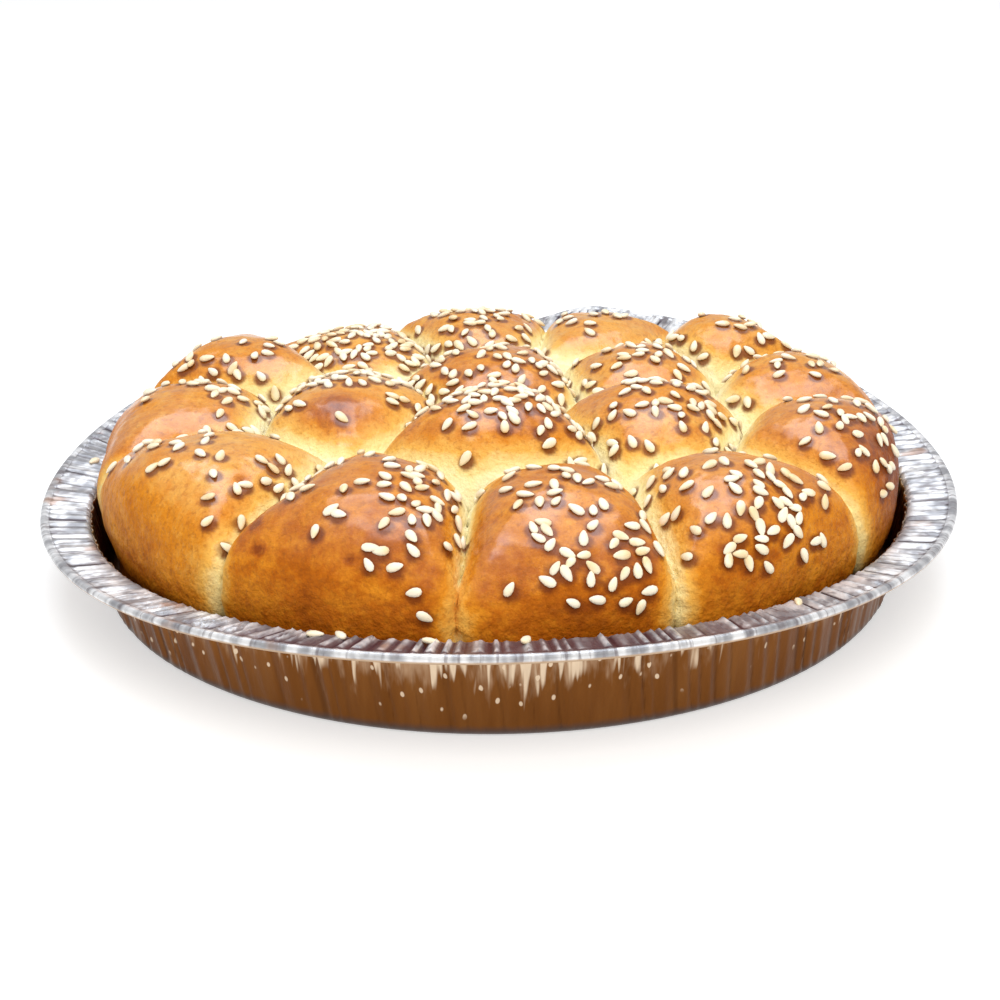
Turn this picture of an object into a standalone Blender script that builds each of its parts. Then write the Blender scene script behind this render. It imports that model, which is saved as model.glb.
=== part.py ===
"""Honeycomb bread: seventeen cheese-filled buns baked together in a round foil pan.

The buns are pressed against each other and against the pan's wall, so they bake
into one loaf that lifts out in one piece. Sesame seeds are baked onto its crust.
The pan is thin foil with a pleated wall, a crimped flange and a rolled edge.

Frame: the pan stands on the plane z = 0 with its centre at the origin. The side
that the loaf is seen from is -Y. Sizes are in metres, +Z is up.
"""

import math
import random

import bmesh
import bpy
from mathutils import Matrix, Vector
from mathutils.bvhtree import BVHTree

MM = 0.001

# Foil pan
RIM_RADIUS = 100 * MM
FLANGE_INNER_RADIUS = 90.2 * MM
WALL_TOP_RADIUS = 89.5 * MM
WALL_FOOT_RADIUS = 86.6 * MM
FLOOR_RADIUS = 84.6 * MM
FOOT_RISE = 1.6 * MM
RIM_HEIGHT = 22.7 * MM
FLANGE_RISE = 1.7 * MM
FOIL_THICKNESS = 0.6 * MM
FOIL_BEND = 0.6 * MM
WALL_BEND = 0.8 * MM
ROLL_RADIUS = 1.3 * MM
ROLL_TURNS = (90, 30, -30, -80)
PLEAT_COUNT = 48
PLEAT_DEPTH = 0.35 * MM
CRIMP_HEIGHT = 0.3 * MM
FOIL_COLOR = (0.72, 0.70, 0.68)
FOIL_ROUGHNESS = 0.32

# The handled rim is no longer flat: it is pushed up at the front and the back,
# and pressed down again along one stretch, between bearings in degrees from +X
RIM_LIFT_BACK = 3.0 * MM
RIM_LIFT_RIGHT = 0.8 * MM
RIM_BEND = 3.8 * MM
RIM_DENT = 6.0 * MM
RIM_DENT_EDGES = (74, 88, 112, 136)

# Loaf
GAP = 0.35 * MM
CRUST_FOOT = FOIL_THICKNESS + GAP
CRUST_FOOT_WIDTH = 3 * MM
CRUST_FOOT_RISE = 2 * MM
SIDE_CLEARANCE = 0.8 * MM
LOAF_SIDE_RADIUS = WALL_TOP_RADIUS - FOIL_THICKNESS - PLEAT_DEPTH - GAP - SIDE_CLEARANCE
SHOULDER_HEIGHT = 22 * MM
SHOULDER_WIDTH = 4 * MM
SHOULDER_RISE = 2 * MM
CREASE_HEIGHT = 29 * MM
CREASE_RADIUS = 62 * MM
CRUMB_STEPS = 72
CRUST_COLOR = (0.76, 0.42, 0.13)
CRUST_ROUGHNESS = 0.38
SHARP_EDGE = math.radians(50)

# Buns: the waist is a bun's widest line
WAIST_SETBACK = 0.3 * MM
WAIST_RADIUS = LOAF_SIDE_RADIUS - WAIST_SETBACK
WAIST_HEIGHT = 21 * MM
BUN_SEGMENTS = 20
BUN_RINGS = 8
BUN_FOOT_DEPTH = 6 * MM
BUN_OVERLAP = 1.05
BUN_TURNS = 24
CORNER_SHARPNESS = 7.0
CORNER_SPREAD = 1.5
PUFFINESS = 2.2

# Buns as laid in the pan, one by one: bearing in degrees from +X, distance of the
# middle from the pan's centre in mm, height of the top in mm, and seeds shown on it
OUTER_BUNS = (
    (-150, 67, 41.0, 9),
    (-114, 61, 43.0, 14),
    (-79, 59, 42.0, 12),
    (-47, 68, 41.5, 14),
    (-15, 71, 41.5, 9),
    (16, 70, 39.0, 7),
    (42, 72, 40.0, 5),
    (69, 69, 35.5, 3),
    (93, 68, 35.5, 11),
    (121, 65, 34.5, 16),
    (149, 69, 40.0, 5),
    (174, 68, 38.0, 6),
)
INNER_BUNS = (
    (176, 33, 41.0, 10),
    (-91, 21, 46.0, 17),
    (89, 26, 39.0, 11),
    (-11, 34, 41.5, 11),
    (43, 46, 38.0, 8),
)

# Sesame
SEED_LENGTH = 3.4 * MM
SEED_WIDTH = 2.1 * MM
SEED_DEPTH = 1.1 * MM
SEED_TAPER = 0.5
SEED_RAISED = 0.13 * MM
SEED_SEGMENTS = 6
SEED_RINGS = 3
SEED_SPACING = 4.6 * MM
SEED_LOWEST = 27 * MM
SEED_REACH = 0.82
SEED_TRIES = 400
SEED_RANDOM = 7

MERGE_DISTANCE = 0.01 * MM
SMALL_STEP = 0.1 * MM


def material(name, color, roughness, metallic):
    """A plain Principled material."""
    made = bpy.data.materials.new(name)
    made.use_nodes = True
    shader = made.node_tree.nodes["Principled BSDF"]
    shader.inputs["Base Color"].default_value = (*color, 1.0)
    shader.inputs["Roughness"].default_value = roughness
    shader.inputs["Metallic"].default_value = metallic
    return made


def new_object(name, bm, collection):
    """Turns a bmesh into an object in the collection."""
    mesh = bpy.data.meshes.new(name)
    bmesh.ops.recalc_face_normals(bm, faces=bm.faces)
    bm.to_mesh(mesh)
    bm.free()
    made = bpy.data.objects.new(name, mesh)
    collection.objects.link(made)
    return made


def turned(name, profile, steps, collection):
    """Turns a profile of (radius, height) points round the Z axis."""
    bm = bmesh.new()
    points = [bm.verts.new((radius, 0.0, height)) for radius, height in profile]
    for upper, lower in zip(points, points[1:]):
        bm.edges.new((upper, lower))
    mesh = bpy.data.meshes.new(name)
    bm.to_mesh(mesh)
    bm.free()
    made = bpy.data.objects.new(name, mesh)
    collection.objects.link(made)
    screw = made.modifiers.new("turn", "SCREW")
    screw.angle = math.tau
    screw.steps = steps
    screw.render_steps = steps
    screw.use_merge_vertices = True
    screw.merge_threshold = MERGE_DISTANCE
    apply_modifiers(made)
    return made


def apply_modifiers(thing):
    """Replaces the object's mesh by its evaluated one."""
    evaluated = thing.evaluated_get(bpy.context.evaluated_depsgraph_get())
    result = bpy.data.meshes.new_from_object(evaluated)
    old = thing.data
    thing.modifiers.clear()
    thing.data = result
    bpy.data.meshes.remove(old)


def smooth_step(low, high, value):
    """Rises smoothly from 0 at low to 1 at high."""
    share = min(max((value - low) / (high - low), 0.0), 1.0)
    return share * share * (3 - 2 * share)


def rim_offset(angle):
    """How far the rim stands above its mean height at this bearing."""
    lift = RIM_LIFT_BACK * math.sin(angle)
    lean = RIM_LIFT_RIGHT * math.cos(angle)
    start, full, fading, end = (math.radians(edge) for edge in RIM_DENT_EDGES)
    dent = smooth_step(start, full, angle) - smooth_step(fading, end, angle)
    return lift + lean - RIM_BEND * math.cos(2 * angle) - RIM_DENT * dent


def pan_profile():
    """The foil's outer face: rolled edge, flange, wall, rounded foot and floor."""
    wall_top = RIM_HEIGHT - FLANGE_RISE
    roll_out = RIM_RADIUS - ROLL_RADIUS
    roll_inside = ROLL_RADIUS - FOIL_THICKNESS
    points = [
        (0.0, 0.0),
        (FLOOR_RADIUS, 0.0),
        (WALL_FOOT_RADIUS - FOIL_BEND, FOOT_RISE - 2 * FOIL_BEND),
        (WALL_FOOT_RADIUS, FOOT_RISE),
        (WALL_TOP_RADIUS, wall_top - WALL_BEND),
        (FLANGE_INNER_RADIUS + FOIL_BEND, wall_top - FOIL_THICKNESS),
    ]
    for degrees in ROLL_TURNS:
        turn = math.radians(degrees)
        radius = roll_out + roll_inside * math.cos(turn)
        height = RIM_HEIGHT - ROLL_RADIUS + roll_inside * math.sin(turn)
        points.append((radius, height))
    return points[::-1]


def shape_foil(pan):
    """Pleats the wall, crimps the flange and bends the rim."""
    for vertex in pan.data.vertices:
        radius = math.hypot(vertex.co.x, vertex.co.y)
        if radius < FLOOR_RADIUS + SMALL_STEP:
            continue
        angle = math.atan2(vertex.co.y, vertex.co.x)
        wave = math.cos(PLEAT_COUNT * angle)
        height_share = min(vertex.co.z / RIM_HEIGHT, 1.0)
        if radius < FLANGE_INNER_RADIUS:
            outward = 1 + PLEAT_DEPTH * wave / radius
            vertex.co.x *= outward
            vertex.co.y *= outward
        elif radius < RIM_RADIUS - 2 * ROLL_RADIUS:
            vertex.co.z += CRIMP_HEIGHT * wave
        vertex.co.z += rim_offset(angle) * height_share


def make_foil_pan(collection):
    """The pan: one sheet of foil from the floor to the rolled edge."""
    pan = turned("foil_pan", pan_profile(), 2 * PLEAT_COUNT, collection)
    shape_foil(pan)
    solidify = pan.modifiers.new("foil", "SOLIDIFY")
    solidify.thickness = FOIL_THICKNESS
    solidify.offset = -1.0
    solidify.use_even_offset = False
    pan.data.shade_smooth()
    pan.data.materials.append(material("foil", FOIL_COLOR, FOIL_ROUGHNESS, 1.0))
    return pan


class Bun:
    """A bun that fills its place between its neighbours and the pan's wall.

    Seen from above it is round near its top and takes the shape of its place
    towards its sides. Its widest line, the waist, is at the height of the rim.
    """

    def __init__(self, bearing, distance, top, seeds, by_wall):
        turn = math.radians(bearing)
        self.middle = Vector((math.cos(turn), math.sin(turn))) * distance * MM
        self.rise = top * MM - WAIST_HEIGHT
        self.seeds = seeds
        self.by_wall = by_wall
        self.sides = []
        self.mean_reach = 0.0

    def meet(self, buns):
        """Sets the sides where this bun presses against the others."""
        for other in buns:
            if other is not self:
                apart = other.middle - self.middle
                half_way = BUN_OVERLAP * apart.length / 2
                self.sides.append(apart.normalized() / half_way)
        turns = [math.tau * step / BUN_TURNS for step in range(BUN_TURNS)]
        self.mean_reach = sum(self.reach(turn) for turn in turns) / BUN_TURNS

    def reach(self, turn):
        """How far the waist is from the middle in this direction."""
        away = Vector((math.cos(turn), math.sin(turn)))
        shares = [max(away.dot(side), 0.0) for side in self.sides]
        if self.by_wall:
            along = self.middle.dot(away)
            square = along * along + WAIST_RADIUS ** 2 - self.middle.length_squared
            shares.append(1 / (math.sqrt(square) - along))
        total = sum(share ** CORNER_SHARPNESS for share in shares)
        return total ** (-1 / CORNER_SHARPNESS)

    def crust(self, turn, share):
        """The crust's point in this direction: share 0 is the top, 1 the waist."""
        corner = (self.reach(turn) - self.mean_reach) * share ** CORNER_SPREAD
        away = Vector((math.cos(turn), math.sin(turn)))
        spot = self.middle + away * (self.mean_reach + corner) * share
        lift = (1 - share ** PUFFINESS) ** (1 / PUFFINESS)
        return Vector((spot.x, spot.y, WAIST_HEIGHT + self.rise * lift))


def all_buns():
    """Every bun, the outer ring first."""
    buns = [Bun(*place, True) for place in OUTER_BUNS]
    buns += [Bun(*place, False) for place in INNER_BUNS]
    for bun in buns:
        bun.meet(buns)
    return buns


def make_bun(bun, index, collection):
    """One bun as a sphere that is pushed out to the bun's crust, flatter underneath."""
    bm = bmesh.new()
    bmesh.ops.create_uvsphere(bm, u_segments=BUN_SEGMENTS, v_segments=BUN_RINGS, radius=1.0)
    for vertex in bm.verts:
        turn = math.atan2(vertex.co.y, vertex.co.x)
        below = vertex.co.z * BUN_FOOT_DEPTH
        share = min(math.hypot(vertex.co.x, vertex.co.y), 1.0)
        vertex.co = bun.crust(turn, share)
        if below < -MERGE_DISTANCE:
            vertex.co.z = WAIST_HEIGHT + below
    return new_object(f"bun_{index}", bm, collection)


def make_crumb(collection):
    """The solid bread under the domes, up to the creases between them."""
    foot_radius = WALL_FOOT_RADIUS - FOIL_THICKNESS - PLEAT_DEPTH - GAP
    profile = (
        (0.0, CREASE_HEIGHT),
        (CREASE_RADIUS, CREASE_HEIGHT),
        (LOAF_SIDE_RADIUS - SHOULDER_WIDTH, SHOULDER_HEIGHT + SHOULDER_RISE),
        (LOAF_SIDE_RADIUS, SHOULDER_HEIGHT),
        (foot_radius, CRUST_FOOT + CRUST_FOOT_RISE),
        (foot_radius - CRUST_FOOT_WIDTH, CRUST_FOOT),
        (0.0, CRUST_FOOT),
    )
    return turned("loaf", profile, CRUMB_STEPS, collection)


def seed_places(loaf, buns):
    """Evenly spread spots on the loaf's faces above the pan, with their normals."""
    draw = random.Random(SEED_RANDOM)
    faces = BVHTree.FromObject(loaf, bpy.context.evaluated_depsgraph_get())
    places = []
    for bun in buns:
        wanted = len(places) + bun.seeds
        tries = 0
        while len(places) < wanted and tries < SEED_TRIES:
            tries += 1
            share = SEED_REACH * math.sqrt(draw.random())
            crust = bun.crust(draw.uniform(0, math.tau), share)
            spot, normal, _, _ = faces.find_nearest(crust)
            crowded = any((spot - placed).length < SEED_SPACING for placed, _ in places)
            if spot.z > SEED_LOWEST and not crowded:
                places.append((spot, normal))
    return places


def make_seed(spot, normal, index, draw, collection):
    """A sesame seed lying on the crust, a little sunk in, pointed at one end."""
    bm = bmesh.new()
    bmesh.ops.create_uvsphere(bm, u_segments=SEED_SEGMENTS, v_segments=SEED_RINGS, radius=0.5)
    for vertex in bm.verts:
        taper = 1.0 + SEED_TAPER * vertex.co.x
        vertex.co.y *= taper * SEED_WIDTH
        vertex.co.z *= taper * SEED_DEPTH
        vertex.co.x *= SEED_LENGTH
    place = normal.to_track_quat("Z", "Y").to_matrix().to_4x4()
    spin = Matrix.Rotation(draw.uniform(0, math.tau), 4, "Z")
    bm.transform(Matrix.Translation(spot + normal * SEED_RAISED) @ place @ spin)
    return new_object(f"seed_{index}", bm, collection)


def join_collection(target, pieces):
    """Joins every piece of the collection to the target and removes the pieces."""
    union = target.modifiers.new("union", "BOOLEAN")
    union.operation = "UNION"
    union.operand_type = "COLLECTION"
    union.collection = pieces
    union.solver = "EXACT"
    apply_modifiers(target)
    for piece in list(pieces.objects):
        mesh = piece.data
        bpy.data.objects.remove(piece)
        bpy.data.meshes.remove(mesh)
    bpy.data.collections.remove(pieces)


def scratch_collection(name):
    """A collection for pieces that are about to be joined."""
    made = bpy.data.collections.new(name)
    bpy.context.scene.collection.children.link(made)
    return made


def make_loaf(collection):
    """The loaf: bread, domes and seeds as one solid."""
    buns = all_buns()
    loaf = make_crumb(collection)
    domes = scratch_collection("domes")
    for index, bun in enumerate(buns):
        make_bun(bun, index, domes)
    join_collection(loaf, domes)
    seeds = scratch_collection("seeds")
    draw = random.Random(SEED_RANDOM + 1)
    for index, (spot, normal) in enumerate(seed_places(loaf, buns)):
        make_seed(spot, normal, index, draw, seeds)
    join_collection(loaf, seeds)
    loaf.data.shade_smooth()
    loaf.data.set_sharp_from_angle(angle=SHARP_EDGE)
    loaf.data.materials.clear()
    loaf.data.materials.append(material("crust", CRUST_COLOR, CRUST_ROUGHNESS, 0.0))
    return loaf


def main():
    for old in list(bpy.data.objects):
        bpy.data.objects.remove(old)
    collection = bpy.data.collections.new("honeycomb_bread")
    bpy.context.scene.collection.children.link(collection)
    make_foil_pan(collection)
    make_loaf(collection)


main()
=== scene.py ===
"""Looks of the honeycomb bread: egg-washed crust, sesame and the crinkled foil pan.

The loaf is seventeen buns that rose against each other, each a dome that fills its
place between its neighbours and the pan's wall. Their crust is browned on top and
on the outer side, and pale in the creases. Loose sesame was scattered on the dough.
The pan is one sheet of foil, pleated up the wall, crimped on the flange and rolled
at the edge. Sizes are in metres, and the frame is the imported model's.
"""

import math

import bmesh
import bpy
import numpy as np
from mathutils import Matrix, Vector, noise
from mathutils.bvhtree import BVHTree
from mathutils.kdtree import KDTree


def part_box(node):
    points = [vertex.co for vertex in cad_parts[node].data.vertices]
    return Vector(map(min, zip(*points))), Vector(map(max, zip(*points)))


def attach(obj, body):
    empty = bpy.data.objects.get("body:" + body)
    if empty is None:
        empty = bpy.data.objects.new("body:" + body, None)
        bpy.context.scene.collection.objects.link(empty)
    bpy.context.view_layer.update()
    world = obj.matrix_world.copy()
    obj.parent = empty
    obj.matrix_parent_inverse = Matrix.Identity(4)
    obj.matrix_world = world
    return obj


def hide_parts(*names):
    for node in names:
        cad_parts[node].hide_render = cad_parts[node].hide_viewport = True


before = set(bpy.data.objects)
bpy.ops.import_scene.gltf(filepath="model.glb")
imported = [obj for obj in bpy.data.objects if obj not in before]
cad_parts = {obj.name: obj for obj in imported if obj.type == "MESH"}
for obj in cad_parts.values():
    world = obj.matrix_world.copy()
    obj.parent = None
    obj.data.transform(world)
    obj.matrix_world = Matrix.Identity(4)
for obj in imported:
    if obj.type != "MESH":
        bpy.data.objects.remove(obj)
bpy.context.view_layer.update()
PAN_LOW, PAN_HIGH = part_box("foil_pan")
LOAF_LOW, LOAF_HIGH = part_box("loaf")

bl_info = {
    "name": "Honeycomb Bread",
    "version": (1, 0, 0),
    "blender": (4, 5, 0),
    "location": "View3D > Sidebar > Bread",
    "description": "Pull-apart bread with sesame in a round foil pan",
    "category": "Add Mesh",
}

MM = 0.001

# The pan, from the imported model's outside
RIM_RADIUS = (PAN_HIGH.x - PAN_LOW.x) / 2
WALL_TOP_RADIUS = RIM_RADIUS - 10.5 * MM
WALL_FOOT_RADIUS = RIM_RADIUS - 13.4 * MM
FLOOR_RADIUS = RIM_RADIUS - 15.4 * MM
RIM_HEIGHT = 22.7 * MM
FLANGE_RISE = 1.7 * MM
RIM_LIFT_BACK = 3.0 * MM
RIM_LIFT_RIGHT = 0.8 * MM
RIM_BEND = 3.8 * MM
RIM_DENT = 6.0 * MM
RIM_DENT_EDGES = (74, 88, 112, 136)
LEVEL_FLOOR_HEIGHT = 2 * MM
ROLLED_UNDER_HEIGHT = RIM_HEIGHT - 1.0 * MM
ROLLED_UNDER_RADIUS = RIM_RADIUS - 2.2 * MM
FOOT_ROUND = 2 * MM
CUP_COLUMNS = 1140
RIM_COLUMNS = 1980

# The buns: the waist is a bun's widest line
LOAF_SIDE_RADIUS = (LOAF_HIGH.x - LOAF_LOW.x) / 2
WAIST_RADIUS = LOAF_SIDE_RADIUS - 0.3 * MM
WAIST_HEIGHT = 21 * MM
LOAF_FOOT = LOAF_LOW.z
CORNER_GROWTH = 1.3
DROP_OUTSIDE_WAIST = 40 * MM
NEIGHBOUR_REACH = 70 * MM
CREASE_SHARE = 0.16
CRUMB_COLUMNS = 96
CRUMB_PALE_HEIGHTS = (16.5 * MM, 18.5 * MM)

# Rings under a bun's waist: share of the waist's radius, and mm below the waist
SKIRT_RINGS = ((0.997, 1.2), (0.99, 3.0), (0.96, 6.0), (0.85, 8.0))
SKIRT_BROWNING = 0.7

# The dough's unevenness and the crust's ripples: pattern scale, then height in mm
COARSE_UNEVENNESS = (55, 0.9)
FINE_UNEVENNESS = (160, 0.22)
BROAD_RIPPLE = (230, 0.12)
FINE_RIPPLE = (520, 0.10)

# Torn dough in the creases: pattern scale, where its pits start, and in mm how deep
# they are and how high the strands between them stand
TORN_SCALE = 640
PIT_START = 0.12
PIT_DEPTH = 1.3
STRAND_HEIGHT = 0.5

# Bearing in degrees from +X, distance of the middle from the pan's centre in mm,
# height of the top in mm, and how browned the top is
OUTER_BUNS = (
    (-149, 67, 41.0, 0.65),
    (-113, 61, 43.0, 1.0),
    (-79, 59, 42.0, 1.0),
    (-48, 68, 41.5, 0.82),
    (-15, 71, 41.5, 0.9),
    (16, 70, 39.0, 0.8),
    (42, 72, 40.0, 0.65),
    (69, 69, 35.5, 0.6),
    (93, 68, 35.5, 0.75),
    (121, 65, 34.5, 0.6),
    (149, 69, 40.0, 0.8),
    (174, 68, 38.0, 0.8),
)
FRONT_BUNS = 6
CRUST_PIECES = ("front_buns", "back_buns", "inner_buns")
INNER_BUNS = (
    (176, 33, 41.0, 0.60),
    (-91, 21, 46.0, 0.92),
    (89, 26, 39.0, 0.95),
    (-11, 34, 41.5, 0.85),
    (43, 46, 38.0, 0.8),
)

# Marks in the crust, each on the bun with this number, the outer ring's first: bearing
# and way down the dome as below, radius and depth in mm, and how much browner it is;
# a mark of negative depth is a blister
MARKS = (
    (0, -62, 0.42, 1.4, 0.45, 0.35),
    (0, -85, 0.44, 0.9, 0.30, 0.20),
    (0, 183, 0.95, 1.8, -0.55, -0.10),
    (0, 184, 0.95, 0.8, 0.70, 0.30),
    (1, 170, 0.42, 1.2, 0.35, 0.55),
    (1, 186, 0.50, 1.5, 0.45, 0.60),
    (1, 200, 0.60, 1.6, 0.50, 0.60),
    (1, 213, 0.70, 1.3, 0.40, 0.55),
    (1, -100, 0.66, 1.1, 0.35, 0.35),
    (1, -60, 0.90, 6.0, 0.00, 0.22),
    (2, -130, 0.72, 1.3, 0.30, 0.20),
    (2, -95, 0.98, 7.0, 0.00, 0.12),
    (3, -100, 0.66, 1.2, 0.30, 0.20),
    (3, -70, 0.78, 1.5, 0.30, 0.20),
    (4, -2, 0.80, 14.0, 0.00, 0.42),
    (4, -60, 0.50, 7.0, 0.00, 0.15),
    (12, -100, 0.36, 6.0, -0.90, 0.42),
    (13, -60, 0.30, 5.0, 0.00, 0.22),
)

# Sesame on each bun, in the same order: clusters of so many seeds, each with the
# bearing of its middle seen from the bun's top, how far down the dome that lies,
# where 0 is the top and 1 the waist, and how far the seeds spread around it
OUTER_SEEDS = (
    ((22, 100, 0.20, 0.30), (16, -20, 0.45, 0.22), (4, -70, 0.60, 0.15)),
    ((26, -25, 0.26, 0.16), (14, -62, 0.42, 0.14), (14, 165, 0.35, 0.2), (7, -85, 0.7, 0.2)),
    ((18, -84, 0.56, 0.12), (14, -58, 0.70, 0.13), (20, -60, 0.20, 0.22), (12, 150, 0.4, 0.25)),
    ((32, -42, 0.45, 0.20), (10, -75, 0.62, 0.16), (18, -160, 0.34, 0.24), (12, 60, 0.2, 0.3)),
    ((26, -50, 0.32, 0.26), (16, 60, 0.25, 0.35)),
    ((18, -90, 0.12, 0.35), (12, 90, 0.3, 0.3)),
    ((26, 0, 0.05, 0.45),),
    ((22, 0, 0.05, 0.45),),
    ((52, -90, 0.15, 0.38),),
    ((120, -90, 0.10, 0.38),),
    ((26, -90, 0.15, 0.42),),
    ((22, -20, 0.30, 0.30), (12, 90, 0.2, 0.3)),
)
INNER_SEEDS = (
    ((62, 85, 0.22, 0.24), (8, -10, 0.5, 0.15)),
    ((80, 10, 0.28, 0.24), (20, 150, 0.3, 0.2)),
    ((84, -60, 0.10, 0.36),),
    ((60, -20, 0.20, 0.34),),
    ((44, -90, 0.10, 0.36),),
)

# Bearing and distance from the middle, in mm, of the seeds that rolled onto the flange
FLANGE_SEEDS = (
    (-112, 91.5),
    (-109, 90.8),
    (-98, 91.2),
    (-87, 91.6),
    (-52, 92.5),
    (171, 93),
    (28, 94),
)

# Lowest place of a seed on a dome, its lean, how far it stands out of the crust as a
# share of its depth, and the painted shadow below it: its offset and where it fades out
LOWEST_LATITUDE = 0.93
SEED_LEAN = 0.13
SEED_RAISE = (0.18, 0.34)
SEED_SHADOW_OFFSET = Vector((0.15, -0.5, -0.35)) * MM
SEED_SHADOW_EDGES = (1.4 * MM, 2.3 * MM)
SEED_SIZES = (0.88, 1.08)

# Colours of the crust, the seeds and the foil
CRUST_COLORS = (
    (0.0, (0.94, 0.87, 0.60)),
    (0.12, (0.90, 0.74, 0.34)),
    (0.30, (0.82, 0.44, 0.085)),
    (0.55, (0.66, 0.235, 0.014)),
    (0.78, (0.44, 0.115, 0.005)),
    (1.0, (0.24, 0.05, 0.003)),
)
FRECKLE = (0.36, 0.10, 0.008)
# Painted shadow under each seed
SEED_SHADOW_COLOR = (0.17, 0.035, 0.004)
# Painted shade of the pits in the torn dough of the creases
CRUMB_PIT_SHADE = (0.36, 0.28, 0.12)
SESAME_COLORS = (
    (0.0, (0.93, 0.86, 0.70)),
    (0.6, (0.90, 0.79, 0.57)),
    (1.0, (0.80, 0.60, 0.32)),
)
BRIGHT_SILVER = (0.80, 0.80, 0.81)
# Painted shade on flange facets that reflect less light
SHADED_FACET_SILVER = (0.30, 0.30, 0.32)
# Painted shade in the crimps' valleys and in the groove before the roll
CRIMP_SHADE = (0.045, 0.026, 0.034)
STREAK = (0.13, 0.10, 0.11)
BROWN_STAIN = (0.36, 0.15, 0.05)
# Painted tan reflection on the roll's underside
TAN_UNDERSIDE_REFLECTION = (0.50, 0.33, 0.19)
# Painted shade on the folds at the front of the flange
FRONT_FOLD_SHADE = (0.085, 0.035, 0.045)
# Painted brown reflection on the cup's wall
BROWN_REFLECTION_COLORS = (
    (0.0, (0.15, 0.052, 0.011)),
    (0.5, (0.18, 0.065, 0.015)),
    (1.0, (0.21, 0.082, 0.021)),
)
PLEAT_SHADE = (0.06, 0.02, 0.006)
FOOT_SHADE = (0.035, 0.012, 0.004)
# Egg wash below the flange: its film is partly painted reflection, its drips and drops partly
# painted highlights
EGG_FILM_AND_SHEEN = (0.47, 0.31, 0.19)
EGG_DRIP_AND_GLINT = (0.80, 0.64, 0.46)

# The stage; the camera stands where the photo was taken from
FLOOR_HALF = 3.0
OVERHEAD_PLACE = (-0.01, 0.18, 0.70)
OVERHEAD_SIZE = 0.62
OVERHEAD_COLOR = (0.80, 0.89, 1.0)
FILL_PLACE = (0.1, -0.6, 0.75)
FILL_TARGET = (0, 0, 0.02)
FILL_SIZE = 0.8
FILL_COLOR = (1.0, 0.94, 0.86)
CAMERA_PLACE = Vector((0, -0.457, 0.1976))
CAMERA_TARGET = Vector((0.00037, 0, 0.0135))
CAMERA_ROLL = -0.0121
CAMERA_LENS = 79.78
CAMERA_SENSOR = 36


def smooth_step(low, high, value):
    """Rises smoothly from 0 at low to 1 at high."""
    share = np.clip((value - low) / (high - low), 0.0, 1.0)
    return share * share * (3 - 2 * share)


def rim_offset(angle):
    """How far the pan's rim stands above its mean height at this bearing."""
    lift = RIM_LIFT_BACK * np.sin(angle)
    lean = RIM_LIFT_RIGHT * np.cos(angle)
    start, full, fading, end = np.radians(RIM_DENT_EDGES)
    dent = smooth_step(start, full, angle) - smooth_step(fading, end, angle)
    return lift + lean - RIM_BEND * np.cos(2 * angle) - RIM_DENT * dent


def new_piece(name, vertices, faces):
    """A smooth mesh object at the origin from vertices and faces."""
    mesh = bpy.data.meshes.new(name)
    mesh.from_pydata([tuple(place) for place in vertices], [], faces)
    mesh.validate()
    bm = bmesh.new()
    bm.from_mesh(mesh)
    bmesh.ops.recalc_face_normals(bm, faces=bm.faces)
    bm.to_mesh(mesh)
    bm.free()
    mesh.shade_smooth()
    made = bpy.data.objects.new(name, mesh)
    bpy.context.scene.collection.objects.link(made)
    return made


def baked(thing):
    """Replaces the object's mesh by its evaluated one and drops its modifiers."""
    evaluated = thing.evaluated_get(bpy.context.evaluated_depsgraph_get())
    result = bpy.data.meshes.new_from_object(evaluated)
    thing.modifiers.clear()
    thing.data = result
    return thing


def paint_values(thing, name, values):
    """Stores one number for each vertex, which the materials read."""
    attribute = thing.data.attributes.new(name, "FLOAT", "POINT")
    attribute.data.foreach_set("value", np.asarray(values, dtype=np.float32))


def grid_faces(rows, columns, start=0, close_first=None, close_last=None):
    """Faces of a grid whose columns run round; a closing vertex caps its first or last row."""
    faces = []
    for row in range(rows - 1):
        here = start + row * columns
        there = here + columns
        for column in range(columns):
            after = (column + 1) % columns
            faces.append((here + column, here + after, there + after, there + column))
    for cap, row in ((close_first, 0), (close_last, rows - 1)):
        if cap is not None:
            here = start + row * columns
            for column in range(columns):
                faces.append((here + column, here + (column + 1) % columns, cap))
    return faces


# Materials


class Port:
    """A node's output, which takes part in sums and products."""

    def __init__(self, finish, socket):
        self.finish = finish
        self.socket = socket

    def math(self, operation, *others):
        values = dict(enumerate((self, *others)))
        return self.finish.node("Math", {"operation": operation}, values)

    def __add__(self, other):
        return self.math("ADD", other)

    def __radd__(self, other):
        return self.math("ADD", other)

    def __sub__(self, other):
        return self.math("SUBTRACT", other)

    def __rsub__(self, other):
        return self.finish.node("Math", {"operation": "SUBTRACT"}, {0: other, 1: self})

    def __mul__(self, other):
        return self.math("MULTIPLY", other)

    def __rmul__(self, other):
        return self.math("MULTIPLY", other)

    def step(self, low, high):
        """0 below low, 1 above high, smooth between; low may be above high."""
        settings = {"interpolation_type": "SMOOTHSTEP"}
        values = {"Value": self, "From Min": low, "From Max": high}
        return self.finish.node("MapRange", settings, values)

    def clamp(self):
        return self.finish.node("Clamp", {}, {"Value": self})


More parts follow.
